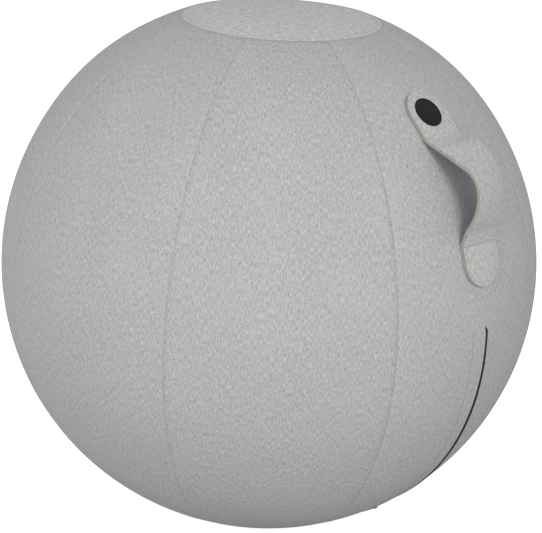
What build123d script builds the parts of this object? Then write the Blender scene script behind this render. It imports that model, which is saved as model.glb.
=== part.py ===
from build123d import *
import math
import os

# Sitting ball: an inflated bladder inside a sewn fabric cover with a carrying handle and a zip.
# Millimetres. +Z is up, z = 0 is the floor, and +X points from the ball to its handle.
# Latitude and longitude are degrees about the ball's centre, with longitude 0 through the handle.
# A level is a distance from the ball's centre, or from the strap's underside on the handle.

# Ball
ball_radius = 325.0
contact_radius = 70.0
top_drop = 10.0

# Cover
gore_count = 8
panel_thickness = 3.0
seam_gap = 0.2
seam_roll = 3.0
allowance_width = 10.0
allowance_thickness = 1.2
top_seam_radius = 118.0
base_seam_radius = 157.0
cross_seam_latitude = 17.2
thread_diameter = 0.8
seam_thread_depth = 1.2
surface_gap = 0.1
top_stitch_inset = 5.5

# Bladder, its valve and plug
bladder_clearance = 0.3
bladder_wall = 1.0
valve_latitude = -24.0
valve_longitude = 10.0
valve_neck_diameter = 17.0
valve_neck_length = 16.0
valve_bore_diameter = 9.0
plug_flange_diameter = 14.0
plug_flange_thickness = 1.6
plug_clearance = 0.1
plug_length = 14.0
plug_tip_length = 4.0
plug_tip_diameter = 6.0

# Handle strap
strap_width = 57.0
strap_turn_angle = -0.57
strap_lean_angle = 0.8
strap_clearance = 0.2
lining_thickness = 1.0
core_thickness = 2.4
outer_thickness = 1.2
upper_tip_centre_latitude = 46.4
lower_tip_centre_latitude = 16.2
upper_lift_angle = 27.0
lower_lift_angle = 42.0
upper_bend_radius = 30.0
crown_bend_radius = 42.0
lower_bend_radius = 20.0
stitch_inset = 4.0
badge_stitch_gap = 5.0
upper_loose_length = 2.45
lower_stitched_length = 19.0
lower_loose_length = 2.5
patch_margin = 6.0
patch_thickness = 1.0
badge_diameter = 35.0
badge_offset = 2.7
badge_thickness = 1.5
badge_rim_width = 2.2
badge_recess = 0.5

# Zip
zip_slant_angle = 3.0
zip_turn_angle = 0.7
slit_width = 2.4
slit_top_latitude = 2.7
slit_base_distance = 17.6
zip_end_length = 6.0
left_facing_width = 25.0
right_facing_width = 18.0
facing_thickness = 1.0
facing_stitch_inset = 1.5
tape_width = 12.0
tape_thickness = 0.7
tape_step_width = 3.5
tooth_width = 2.6
tooth_height = 2.2
tooth_length = 1.8
tooth_pitch = 3.5
running_gap = 0.2
slide_gap = 0.3
stop_length = 3.0

# Zip slider and pull
tongue_thickness = 1.2
slider_length = 11.0
slider_width = 10.4
plate_thickness = 1.2
flange_thickness = 0.8
neck_thickness = 1.6
neck_length = 6.0
lug_radius = 1.7
pin_diameter = 1.0
pin_seat_clearance = 0.02
pin_running_clearance = 0.06
ear_thickness = 1.0
pull_lift = 1.0
pull_arm_length = 3.0
pull_length = 22.0
pull_end_width = 8.0
pull_thickness = 1.4
pull_hole_diameter = 3.6

# Helping sizes
overrun = 5.0
reach = 1000.0
full_turn = 360.0
right_angle = 90.0
end_and_middle_shares = (0, 0.5, 1)
half_pitch_share = 0.5

# Places that follow from the sizes above
centre_height = math.sqrt(ball_radius**2 - contact_radius**2)
centre = Vector(0, 0, centre_height)
up_axis = Axis.Z
lean_axis = Axis(centre, (1, 0, 0))
cross_axis = Axis(centre, (0, 1, 0))
long_axis = Axis(centre, (1, 0, 0))
gore_angle = full_turn / gore_count
top_seam_latitude = math.degrees(math.acos(top_seam_radius / ball_radius))
base_seam_latitude = -math.degrees(math.acos(base_seam_radius / ball_radius))
pole_height = centre_height + ball_radius - top_drop
top_seam_height = centre_height + math.sqrt(ball_radius**2 - top_seam_radius**2)
top_rise = pole_height - top_seam_height
dome_radius = (top_seam_radius**2 + top_rise**2) / (top_rise + top_rise)
dome_centre_height = pole_height - dome_radius
panel_inner = ball_radius - panel_thickness
rim_thickness = panel_thickness + allowance_thickness
allowance_inner = ball_radius - rim_thickness
bladder_level = allowance_inner - bladder_clearance
thread_radius = thread_diameter / 2


def arc_angle(length):
    """Degrees that a length along the ball's surface spans at its centre."""
    return math.degrees(length / ball_radius)


def outward(latitude):
    """The direction from the ball's centre to a latitude on longitude 0."""
    angle = math.radians(latitude)
    return Vector(math.cos(angle), 0, math.sin(angle))


def ring_face(outer, inner, low, high):
    """Upright section between two levels, from one latitude to another."""
    middle = (0, centre_height)
    outside = CenterArc(middle, outer, low, high - low)
    inside = CenterArc(middle, inner, low, high - low)
    ends = [Line(outside @ 0, inside @ 0), Line(inside @ 1, outside @ 1)]
    return Plane.XZ * make_face([outside, inside, *ends])


def shell_band(outer, inner, low, high, turn):
    """Part of a hollow sphere between two latitudes, turned evenly to both sides of longitude 0."""
    band = revolve(ring_face(outer, inner, low, high), up_axis, revolution_arc=turn)
    return band.rotate(up_axis, -turn / 2)


def rim_edge(shape):
    """The widest level round edge of a piece turned about the upright axis."""
    rings = [edge for edge in shape.edges() if edge.bounding_box().size.Z < surface_gap]
    return max(rings, key=lambda ring: ring.bounding_box().size.X)


# Cover panels


def wedge(inset):
    """The upright wedge of one gore, with both its sides moved in by a distance."""
    half = math.radians(gore_angle / 2)
    tip = inset / math.sin(half)
    corner = tip + reach * math.cos(half)
    side = reach * math.sin(half)
    outline = make_face(Polyline((tip, 0), (corner, -side), (corner, side), close=True))
    return extrude(outline, amount=reach)


def lies_outside(edge):
    """True for an edge that lies wholly on the ball's outer surface."""
    spots = [edge @ share for share in end_and_middle_shares]
    return all(abs((spot - centre).length - ball_radius) < seam_gap / 2 for spot in spots)


def gore(low, high):
    """A cover panel between two latitudes, with its edges turned in and rolled at the seams."""
    clear = arc_angle(seam_gap / 2)
    turned_in = arc_angle(allowance_width)
    pocket_low = low + turned_in
    pocket_high = high - turned_in
    panel = shell_band(ball_radius, allowance_inner, low + clear, high - clear, gore_angle)
    panel = panel & wedge(seam_gap / 2)
    pocket_floor = allowance_inner - overrun
    pocket = shell_band(panel_inner, pocket_floor, pocket_low, pocket_high, gore_angle)
    panel = panel - (pocket & wedge(allowance_width))
    rim = [edge for edge in panel.edges() if lies_outside(edge)]
    return fillet(rim, seam_roll)


def handle_panel():
    """The upper panel of the handle's gore, its turned-in edge trimmed behind the strap's patch."""
    return gore(cross_seam_latitude, top_seam_latitude) - lower_patch(running_gap)


def zip_panel():
    """The lower panel of the handle's gore, slit for the zip and trimmed behind the strap's patch."""
    panel = gore(base_seam_latitude, cross_seam_latitude)
    half = slit_width / 2
    section = zip_block(ball_radius + overrun, allowance_inner - overrun, -half, half)
    slit = along_zip(section, slit_top_latitude, slit_bottom_latitude)
    return panel - slit - lower_patch(running_gap)


def dome_face(outer, inner, rim_latitude, inner_latitude):
    """Half section of the domed top between two depths and from one latitude to another."""
    dome = Circle(dome_radius - outer) - Circle(dome_radius - inner)
    ends = []
    for latitude in (rim_latitude, inner_latitude):
        ray = outward(latitude) * reach
        ends.append((ray.X, centre_height + ray.Z))
    window = make_face(Polyline((0, centre_height), *ends, close=True))
    return Plane.XZ * (Pos(0, dome_centre_height) * dome & window)


def top_panel():
    """The round top panel, flatter than the ball, with its edge turned in."""
    rim = top_seam_latitude + arc_angle(seam_gap / 2)
    section = dome_face(0, panel_thickness, rim, right_angle)
    section += dome_face(panel_thickness, rim_thickness, rim, rim + arc_angle(allowance_width))
    panel = revolve(section, up_axis)
    return fillet(rim_edge(panel), seam_roll)


def base_panel():
    """The round non-slip base, pressed flat where the ball stands."""
    rim = base_seam_latitude - arc_angle(seam_gap / 2)
    middle = (0, centre_height)
    foot_latitude = -math.degrees(math.asin(centre_height / ball_radius))
    floor_latitude = -math.degrees(math.asin((centre_height - rim_thickness) / allowance_inner))
    outside = CenterArc(middle, ball_radius, foot_latitude, rim - foot_latitude)
    inside = CenterArc(middle, allowance_inner, floor_latitude, rim - floor_latitude)
    lines = [
        Line((0, 0), outside @ 0),
        Line(outside @ 1, inside @ 1),
        Line(inside @ 0, (0, rim_thickness)),
        Line((0, rim_thickness), (0, 0)),
    ]
    panel = revolve(Plane.XZ * make_face([outside, inside, *lines]), up_axis)
    return fillet(rim_edge(panel), seam_roll)


# Seam threads


def upright_thread(low, high):
    """The thread of one upright seam, at longitude 0, in the groove between two panels."""
    level = ball_radius - seam_thread_depth
    section = Plane.XY.offset(centre_height) * Pos(level, 0) * Circle(thread_radius)
    thread = revolve(section, cross_axis, revolution_arc=high - low)
    return thread.rotate(cross_axis, -high)


def level_thread(latitude, turn):
    """A thread in the groove of a level seam, turned evenly to both sides of longitude 0."""
    spot = outward(latitude) * (ball_radius - seam_thread_depth)
    section = Plane.XZ * Pos(spot.X, centre_height + spot.Z) * Circle(thread_radius)
    thread = revolve(section, up_axis, revolution_arc=turn)
    return thread.rotate(up_axis, -turn / 2)


def seam_threads():
    """The threads of all the cover's seams, each a piece of its own."""
    roll_angle = arc_angle(seam_roll)
    upright = upright_thread(base_seam_latitude + roll_angle, top_seam_latitude - roll_angle)
    threads = [
        upright.rotate(up_axis, gore_angle * number + gore_angle / 2) for number in range(gore_count)
    ]
    side_roll = roll_angle / math.cos(math.radians(cross_seam_latitude))
    threads.append(level_thread(cross_seam_latitude, gore_angle - side_roll - side_roll))
    threads.append(level_thread(base_seam_latitude, full_turn))
    threads.append(level_thread(top_seam_latitude, full_turn))
    return Compound(children=threads)


def top_stitching():
    """The ring of topstitching on the top panel, just inside its seam."""
    across = top_seam_radius - top_stitch_inset
    level = dome_radius + surface_gap + thread_radius
    height = dome_centre_height + math.sqrt(level**2 - across**2)
    return revolve(Plane.XZ * Pos(across, height) * Circle(thread_radius), up_axis)


# Handle strap
# Its centre line lies in the plane y = 0: sewn down, lifting off, over a crown and down again.
# A heading is the angle of that line's direction from +X towards +Z, and the strap's outer side
# is always a quarter turn ahead of it.

strap_base = ball_radius + strap_clearance
core_inner = lining_thickness + surface_gap
core_outer = core_inner + core_thickness
outer_inner = core_outer + surface_gap
strap_thickness = outer_inner + outer_thickness
half_strap = strap_width / 2
upper_stitched_length = badge_diameter / 2 + badge_stitch_gap
upper_cross_stitch_latitude = upper_tip_centre_latitude - arc_angle(upper_stitched_length)
upper_leave_latitude = upper_cross_stitch_latitude - arc_angle(upper_loose_length)
lower_cross_stitch_latitude = lower_tip_centre_latitude + arc_angle(lower_stitched_length)
lower_leave_latitude = lower_cross_stitch_latitude + arc_angle(lower_loose_length)


def turned(point, heading, radius, angle, bulge):
    """The end of a bend of the centre line: bulge 1 curves like the ball, -1 away from it."""
    side = outward(heading + right_angle) * radius * bulge
    new_heading = heading - angle * bulge
    return point - side + outward(new_heading + right_angle) * radius * bulge, new_heading


def strap_section(point, heading, inner, outer, width):
    """The strap's cross-section between two levels, bowed like the ball that it lies on."""
    plane = Plane(origin=centre + point, x_dir=(0, 1, 0), z_dir=outward(heading))
    bow = Circle(strap_base + outer) - Circle(strap_base + inner)
    return plane * (Pos(0, -strap_base) * bow & Rectangle(width, strap_base))


def strap_bend(point, heading, radius, angle, bulge, inner, outer, width):
    """A solid bend of the strap."""
    section = strap_section(point, heading, inner, outer, width)
    pivot = centre + point - outward(heading + right_angle) * radius * bulge
    return revolve(section, Axis(pivot, (0, bulge, 0)), revolution_arc=angle)


def tip_prism(centre_latitude, size, towards):
    """A prism along the radius whose outline is the strap's rounded end, open towards the loop."""
    plane = Plane(origin=centre, x_dir=(0, 1, 0), z_dir=outward(centre_latitude))
    run_length = ball_radius / 2
    run = Pos(0, towards * run_length / 2) * Rectangle(size + size, run_length)
    return extrude(plane * (Circle(size) + run), amount=reach)


def sewn_end(inner, outer, size, centre_latitude, stop_latitude):
    """A sewn end of the strap between two levels, from its rounded tip to a latitude."""
    towards = 1 if stop_latitude > centre_latitude else -1
    tip_latitude = centre_latitude - towards * arc_angle(size + overrun)
    high = max(tip_latitude, stop_latitude)
    low = min(tip_latitude, stop_latitude)
    start = outward(high) * strap_base
    width = strap_width + overrun * 2
    band = strap_bend(start, high - right_angle, strap_base, high - low, 1, inner, outer, width)
    return band & tip_prism(centre_latitude, size, towards)


def strap_line():
    """The start, heading and length of each free piece of the strap's centre line."""
    lift_point = outward(upper_leave_latitude) * strap_base
    lift_heading = upper_leave_latitude - right_angle
    top_point, top_heading = turned(lift_point, lift_heading, upper_bend_radius, upper_lift_angle, -1)
    land_point = outward(lower_leave_latitude) * strap_base
    land_heading = lower_leave_latitude - right_angle
    back_heading = land_heading - lower_lift_angle
    bend_centre = land_point + outward(land_heading + right_angle) * lower_bend_radius
    low_point = bend_centre - outward(back_heading + right_angle) * lower_bend_radius
    crown_angle = top_heading - back_heading
    gap = low_point - top_point
    along_top = outward(top_heading)
    along_low = outward(back_heading)
    cross = along_top.X * along_low.Z - along_top.Z * along_low.X
    top_length = (gap.X * along_low.Z - gap.Z * along_low.X) / cross
    low_length = (along_top.X * gap.Z - along_top.Z * gap.X) / cross
    crown_share = crown_bend_radius * math.tan(math.radians(crown_angle / 2))
    crown_start = top_point + along_top * (top_length - crown_share)
    crown_end = low_point - along_low * (low_length - crown_share)
    return {
        "lift": (lift_point, lift_heading),
        "top": (top_point, top_heading, top_length - crown_share),
        "crown": (crown_start, top_heading, crown_angle),
        "low": (crown_end, back_heading, low_length - crown_share),
        "land": (low_point, back_heading),
    }


def strap_layer(inner, outer):
    """One layer of the whole strap: two sewn ends and the free loop between them."""
    line = strap_line()
    levels = (inner, outer, strap_width)
    lift = strap_bend(*line["lift"], upper_bend_radius, upper_lift_angle, -1, *levels)
    top_point, top_heading, top_length = line["top"]
    top_run = extrude(strap_section(top_point, top_heading, *levels), amount=top_length)
    crown_point, crown_heading, crown_angle = line["crown"]
    crown = strap_bend(crown_point, crown_heading, crown_bend_radius, crown_angle, 1, *levels)
    low_point, low_heading, low_length = line["low"]
    low_run = extrude(strap_section(low_point, low_heading, *levels), amount=low_length)
    land = strap_bend(*line["land"], lower_bend_radius, lower_lift_angle, -1, *levels)
    upper = sewn_end(inner, outer, half_strap, upper_tip_centre_latitude, upper_leave_latitude)
    lower = sewn_end(inner, outer, half_strap, lower_tip_centre_latitude, lower_leave_latitude)
    return strap_turned(upper + lift + top_run + crown + low_run + land + lower)


def end_stitching(centre_latitude, cross_latitude):
    """The closed line of stitches round a sewn end: along its edge and straight across."""
    towards = 1 if cross_latitude > centre_latitude else -1
    bottom = strap_thickness + surface_gap
    top = bottom + thread_diameter
    size = half_strap - stitch_inset
    whole = sewn_end(bottom, top, size, centre_latitude, cross_latitude)
    inner_cross = cross_latitude - towards * arc_angle(thread_diameter)
    inner_size = size - thread_diameter
    inside = sewn_end(bottom - overrun, top + overrun, inner_size, centre_latitude, inner_cross)
    return strap_turned(whole - inside)


def backing_patch(centre_latitude, stop_latitude, growth=0):
    """The patch inside the cover that a sewn end is stitched through to, made larger by a growth."""
    towards = 1 if stop_latitude > centre_latitude else -1
    top = panel_inner - running_gap - strap_base
    end = stop_latitude + towards * arc_angle(patch_margin + growth)
    size = half_strap + patch_margin + growth
    patch = sewn_end(top - patch_thickness - growth, top + growth, size, centre_latitude, end)
    return strap_turned(patch)


def lower_patch(growth=0):
    """The patch behind the strap's lower end, or the room that the cover leaves for it."""
    return backing_patch(lower_tip_centre_latitude, lower_leave_latitude, growth)


def strap_turned(shape):
    """Turns a piece of the handle to where it is sewn: it leans, a little off the gore's middle."""
    return shape.rotate(lean_axis, strap_lean_angle).rotate(up_axis, strap_turn_angle)


def badge_disc(inner, outer, size):
    """A round patch of a radius between two levels, centred on the upper sewn end."""
    high = upper_tip_centre_latitude + arc_angle(size + overrun)
    turn = arc_angle(size + overrun) * 2
    start = outward(high) * strap_base
    width = (size + overrun) * 2
    band = strap_bend(start, high - right_angle, strap_base, turn, 1, inner, outer, width)
    plane = Plane(origin=centre, x_dir=(0, 1, 0), z_dir=outward(upper_tip_centre_latitude))
    return band & extrude(plane * Circle(size), amount=reach)


def badge():
    """A plain round badge with a raised rim, on the upper sewn end."""
    bottom = strap_thickness + surface_gap
    top = bottom + badge_thickness
    size = badge_diameter / 2
    well = badge_disc(top - badge_recess, top + overrun, size - badge_rim_width)
    disc = strap_turned(badge_disc(bottom, top, size) - well)
    return disc.rotate(up_axis, -arc_angle(badge_offset) / math.cos(math.radians(upper_tip_centre_latitude)))


# Zip
# Its pieces are turned about an axis across the ball, so the slider keeps the same
# clearances all the way. They are drawn on the meridian and then slanted together.

facing_outer = panel_inner - running_gap
facing_inner = facing_outer - facing_thickness
plate_outer = facing_inner - slide_gap
plate_inner = plate_outer - plate_thickness
tooth_outer = plate_inner - running_gap
tooth_inner = tooth_outer - tooth_height
tooth_middle = (tooth_outer + tooth_inner) / 2
back_outer = tooth_inner - running_gap
back_inner = back_outer - plate_thickness
channel_floor = back_inner - bladder_clearance
tooth_near = tongue_thickness / 2 + running_gap
tooth_far = tooth_near + tooth_width
tape_near = tooth_far + surface_gap
tape_far = tape_near + tape_width
step_near = slider_width / 2 + slide_gap + slide_gap
step_far = step_near + tape_step_width
tape_high = facing_inner - surface_gap
tape_low = tooth_middle + tape_thickness / 2
end_angle = arc_angle(zip_end_length)
stop_angle = arc_angle(stop_length)
gap_angle = arc_angle(slide_gap)
slit_bottom_latitude = base_seam_latitude + arc_angle(slit_base_distance)
zip_top = slit_top_latitude + end_angle
zip_bottom = slit_bottom_latitude - end_angle
row_top = slit_top_latitude - stop_angle - gap_angle
row_bottom = slit_bottom_latitude + stop_angle + gap_angle
slider_rest = row_bottom + arc_angle(slider_length / 2)
slider_highest = row_top - arc_angle(slider_length / 2)
slider_travel = slider_highest - slider_rest
pin_level = ball_radius + pull_lift + lug_radius
ear_near = neck_thickness / 2 + running_gap
ear_far = ear_near + ear_thickness


def zip_turned(shape, latitude):
    """A shape drawn level through the centre, turned to a latitude of the slanted zip."""
    slanted = shape.rotate(cross_axis, -latitude).rotate(long_axis, zip_slant_angle)
    return slanted.rotate(up_axis, zip_turn_angle)


def along_zip(section, high, low):
    """A section, drawn level through the centre, turned from one latitude down to another."""
    run = revolve(section, cross_axis, revolution_arc=high - low)
    return zip_turned(run, high)


def zip_band(outer, inner, near, far):
    """Level section between two levels and two distances from the zip's middle, bowed."""
    bow = Circle(outer) - Circle(inner)
    window = Pos(ball_radius, (near + far) / 2) * Rectangle(ball_radius, abs(far - near))
    return Plane.XY.offset(centre_height) * (bow & window)


def zip_block(outer, inner, near, far):
    """Level section between two levels and two distances from the zip's middle, square."""
    block = Pos((outer + inner) / 2, (near + far) / 2) * Rectangle(outer - inner, abs(far - near))
    return Plane.XY.offset(centre_height) * block


def level_spot(level, across):
    """A point of a level section at a level and a distance from the zip's middle."""
    return (math.sqrt(level**2 - across**2), across)


def facing(side, width):
    """The strip of cover fabric that lines one edge of the slit."""
    section = zip_band(facing_outer, facing_inner, side * slit_width / 2, side * width)
    return along_zip(section, zip_top, zip_bottom)


def tape(side):
    """A woven zip tape: low beside the teeth, stepped up to be sewn under its facing."""
    low_part = [(tape_low, tape_near), (tape_low, step_near)]
    high_part = [(tape_high, step_far), (tape_high, tape_far)]
    tops = low_part + high_part
    upper = [level_spot(level, side * across) for level, across in tops]
    lower = [level_spot(level - tape_thickness, side * across) for level, across in reversed(tops)]
    section = Plane.XY.offset(centre_height) * make_face(Polyline(*upper, *lower, close=True))
    return along_zip(section, zip_top, zip_bottom)


def teeth(side, shift):
    """A row of zip teeth along one tape, all alike and each a piece of its own."""
    section = zip_block(tooth_outer, tooth_inner, side * tooth_near, side * tooth_far)
    length = arc_angle(tooth_length)
    pitch = arc_angle(tooth_pitch)
    first = row_top - shift * pitch
    count = int((first - length - row_bottom) / pitch) + 1
    row = [along_zip(section, first - pitch * n, first - pitch * n - length) for n in range(count)]
    return Compound(children=row)


def zip_stop(high):
    """The clip across both rows that stops the slider."""
    section = zip_block(tooth_outer, tooth_inner, -tooth_far, tooth_far)
    return along_zip(section, high, high - stop_angle)


def facing_stitching(side, width):
    """The line of topstitching that holds one facing to the cover."""
    across = side * (width - facing_stitch_inset)
    level, spot = level_spot(ball_radius + surface_gap + thread_radius, across)
    section = Plane.XY.offset(centre_height) * Pos(level, spot) * Circle(thread_radius)
    return along_zip(section, slit_top_latitude, zip_bottom)


def zip_stitching():
    """Both lines of topstitching beside the slit."""
    left = facing_stitching(-1, left_facing_width)
    right = facing_stitching(1, right_facing_width)
    return Compound(children=[left, right])


# Slider and pull, at the lower end of the zip, where it is closed


def at_slider(shape):
    """Places a shape drawn at latitude 0 where the slider rests."""
    return zip_turned(shape, slider_rest)


def slider():
    """The slider: two plates joined by a tongue between the teeth, and a neck out to its lug."""
    half = slider_width / 2
    section = zip_block(plate_outer, plate_inner, -half, half)
    section += zip_block(back_outer, back_inner, -half, half)
    section += zip_block(plate_inner, back_outer, -tongue_thickness / 2, tongue_thickness / 2)
    lip_gap = (tape_thickness / 2) + slide_gap
    for side in (-1, 1):
        lip = side * (half - flange_thickness)
        section += zip_block(plate_inner, tooth_middle + lip_gap, lip, side * half)
        section += zip_block(tooth_middle - lip_gap, back_outer, lip, side * half)
    reach_angle = arc_angle(slider_length / 2)
    body = along_zip(section, slider_rest + reach_angle, slider_rest - reach_angle)
    half_neck = neck_thickness / 2
    neck_angle = arc_angle(neck_length / 2)
    neck_section = zip_block(ball_radius + pull_lift / 2, plate_inner, -half_neck, half_neck)
    neck = along_zip(neck_section, slider_rest + neck_angle, slider_rest - neck_angle)
    lug_angle = arc_angle(lug_radius)
    stem_section = zip_block(pin_level, ball_radius, -half_neck, half_neck)
    stem = along_zip(stem_section, slider_rest + lug_angle, slider_rest - lug_angle)
    lug = at_slider(pin_barrel(lug_radius, neck_thickness))
    hole = at_slider(pin_barrel(pin_diameter / 2 + pin_seat_clearance, slider_width))
    return body + neck + stem + lug - hole


def pin_barrel(radius, length):
    """A cylinder across the zip, centred on the pull's pin, at latitude 0."""
    plane = Plane(origin=centre + outward(0) * pin_level, x_dir=(1, 0, 0), z_dir=(0, 1, 0))
    return extrude(plane * Circle(radius), amount=length / 2, both=True)


def pull_pin():
    """The pin through the lug and the pull's two ears."""
    return at_slider(pin_barrel(pin_diameter / 2, ear_far * 2))


def pull():
    """The pull, lying flat along the zip: two ears on the pin and a tab with a round, holed end."""
    plane = Plane(origin=centre + outward(0) * pin_level, x_dir=(0, 1, 0), z_dir=outward(0))
    end_radius = pull_end_width / 2
    end_spot = pull_length - end_radius
    top_corners = [(-ear_far, -pull_arm_length), (ear_far, -pull_arm_length)]
    low_corners = [(end_radius, -end_spot), (-end_radius, -end_spot)]
    tab = make_face(Polyline(*top_corners, *low_corners, close=True))
    tab += Pos(0, -end_spot) * Circle(end_radius)
    tab -= Pos(0, -end_spot) * Circle(pull_hole_diameter / 2)
    for side in (-1, 1):
        arm = Pos(side * (ear_near + ear_far) / 2, -pull_arm_length / 2)
        tab += arm * Rectangle(ear_thickness, pull_arm_length)
    body = extrude(plane * tab, amount=pull_thickness / 2, both=True)
    ears = pin_barrel(lug_radius, ear_far * 2) - pin_barrel(lug_radius + overrun, ear_near * 2)
    hole = pin_barrel(pin_diameter / 2 + pin_running_clearance, slider_width)
    return at_slider(body + ears - hole)


# Bladder and plug


def ball_form(inset, floor_height):
    """The solid form of the ball, a distance inside its outer surface, cut flat at a height."""
    form = Pos(*centre) * Sphere(ball_radius - inset)
    form = form & (Pos(0, 0, dome_centre_height) * Sphere(dome_radius - inset))
    above_floor = Pos(0, 0, floor_height + reach / 2) * Box(reach, reach, reach)
    return form & above_floor


def zip_channel(growth):
    """The hollow that the zip presses into the bladder, made larger all round by a distance."""
    far = tape_far + bladder_clearance + growth
    shelf = tape_high - tape_thickness - bladder_clearance - growth
    step = step_far + bladder_clearance + growth
    floor_level = channel_floor - growth
    near = step_near + growth
    top_level = ball_radius + overrun
    spots = [(top_level, far), (shelf, far), (shelf, step), (floor_level, near)]
    right = [level_spot(level, across) for level, across in spots]
    left = [level_spot(level, -across) for level, across in reversed(spots)]
    section = Plane.XY.offset(centre_height) * make_face(Polyline(*right, *left, close=True))
    end = arc_angle(bladder_clearance + growth)
    return along_zip(section, zip_top + end, zip_bottom - end)


def at_valve(shape):
    """Places a shape drawn pointing outwards from the ball's centre where the valve is."""
    placed = shape.rotate(Axis.Y, right_angle - valve_latitude)
    return Pos(*centre) * placed.rotate(Axis.Z, valve_longitude)


def rod(radius, top, bottom):
    """A cylinder about the valve's line between two levels."""
    return Pos(0, 0, (top + bottom) / 2) * Cylinder(radius, top - bottom)


def bladder():
    """The hollow bladder, dented by the zip, with the neck of its valve moulded inwards."""
    depth = ball_radius - bladder_level
    floor_height = rim_thickness + bladder_clearance
    outside = ball_form(depth, floor_height) - zip_channel(0)
    hollow = ball_form(depth + bladder_wall, floor_height + bladder_wall) - zip_channel(bladder_wall)
    neck_end = bladder_level - valve_neck_length
    seat_level = bladder_level - plug_flange_thickness - plug_clearance - plug_clearance
    seat_radius = plug_flange_diameter / 2 + plug_clearance
    neck = at_valve(rod(valve_neck_diameter / 2, ball_radius, neck_end))
    bore = at_valve(rod(valve_bore_diameter / 2, ball_radius, neck_end - overrun))
    seat = at_valve(rod(seat_radius, ball_radius, seat_level))
    return outside - hollow + (neck & outside) - bore - seat


def air_plug():
    """The plug in the valve: a flange, a shank and a tapered tip."""
    flange_top = bladder_level - plug_clearance
    flange_bottom = flange_top - plug_flange_thickness
    shank_bottom = flange_bottom - plug_length + plug_tip_length
    shank_radius = valve_bore_diameter / 2 - plug_clearance
    flange = rod(plug_flange_diameter / 2, flange_top, flange_bottom)
    shank = rod(shank_radius, flange_bottom, shank_bottom)
    tip = Cone(plug_tip_diameter / 2, shank_radius, plug_tip_length)
    tip = Pos(0, 0, shank_bottom - plug_tip_length / 2) * tip
    return at_valve(flange + shank + tip)


parts = {
    "top_panel": top_panel(),
    "base_panel": base_panel(),
    "handle_panel": handle_panel(),
    "zip_panel": zip_panel(),
    "seam_threads": seam_threads(),
    "top_stitching": top_stitching(),
    "handle_lining": strap_layer(0, lining_thickness),
    "handle_core": strap_layer(core_inner, core_outer),
    "handle_outer": strap_layer(outer_inner, strap_thickness),
    "upper_handle_stitching": end_stitching(upper_tip_centre_latitude, upper_cross_stitch_latitude),
    "lower_handle_stitching": end_stitching(lower_tip_centre_latitude, lower_cross_stitch_latitude),
    "upper_handle_patch": backing_patch(upper_tip_centre_latitude, upper_leave_latitude),
    "lower_handle_patch": lower_patch(),
    "handle_badge": badge(),
    "zip_facing_left": facing(-1, left_facing_width),
    "zip_facing_right": facing(1, right_facing_width),
    "zip_tape_left": tape(-1),
    "zip_tape_right": tape(1),
    "zip_teeth_left": teeth(-1, 0),
    "zip_teeth_right": teeth(1, half_pitch_share),
    "zip_top_stop": zip_stop(slit_top_latitude),
    "zip_bottom_stop": zip_stop(slit_bottom_latitude + stop_angle),
    "zip_stitching": zip_stitching(),
    "zip_slider": slider(),
    "zip_pull_pin": pull_pin(),
    "zip_pull": pull(),
    "bladder": bladder(),
    "air_plug": air_plug(),
}
side_panel = gore(base_seam_latitude, top_seam_latitude)
for number in range(1, gore_count):
    parts[f"side_panel_{number}"] = side_panel.rotate(up_axis, gore_angle * number)

os.makedirs("parts", exist_ok=True)
for name, shape in parts.items():
    shape.label = name
    export_step(shape, f"parts/{name}.step")
print("centre height", round(centre_height, 3), "overall height", round(pole_height, 3))
print("slider at rest", round(slider_rest, 3), "travel", round(slider_travel, 3))
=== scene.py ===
import math

import bpy
from mathutils import Matrix, Vector


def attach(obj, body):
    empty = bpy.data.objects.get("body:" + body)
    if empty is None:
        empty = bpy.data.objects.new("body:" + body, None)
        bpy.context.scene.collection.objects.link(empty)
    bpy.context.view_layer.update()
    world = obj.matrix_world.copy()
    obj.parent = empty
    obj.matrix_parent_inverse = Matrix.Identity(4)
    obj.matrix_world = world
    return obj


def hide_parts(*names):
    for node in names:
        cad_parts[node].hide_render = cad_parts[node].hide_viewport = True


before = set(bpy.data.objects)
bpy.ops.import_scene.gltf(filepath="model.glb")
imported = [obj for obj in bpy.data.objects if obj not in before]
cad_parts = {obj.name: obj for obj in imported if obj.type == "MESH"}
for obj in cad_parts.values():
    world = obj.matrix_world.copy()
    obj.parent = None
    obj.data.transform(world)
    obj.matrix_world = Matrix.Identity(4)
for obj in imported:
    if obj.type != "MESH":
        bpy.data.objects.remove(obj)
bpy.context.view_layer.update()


# Studio
# A plain pale floor under even light from all round, a little stronger from the side of the
# camera. What the camera sees past the ball is white.

cover_radius = 0.325
contact_radius = 0.070
centre_height = math.sqrt(cover_radius**2 - contact_radius**2)
ball_centre = Vector((0, 0, centre_height))

frame_width = 542
camera_turn = math.radians(41.684)
camera_rise = math.radians(19.896)
camera_roll = math.radians(2.965)
camera_distance = 2.077
focal_pixels = 1689.3
shift_right_pixels = 2.02
shift_up_pixels = -4.75
sensor_width = 36.0
view_depth = 50


def heading(turn, rise):
    """The direction from the ball to a place that is turned from the front and raised."""
    level = math.cos(rise)
    return Vector((math.sin(turn) * level, -math.cos(turn) * level, math.sin(rise)))


back = heading(camera_turn, camera_rise)
level_right = Vector((math.cos(camera_turn), math.sin(camera_turn), 0))
level_up = back.cross(level_right)
right = level_right * math.cos(camera_roll) + level_up * math.sin(camera_roll)
up = back.cross(right)

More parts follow.
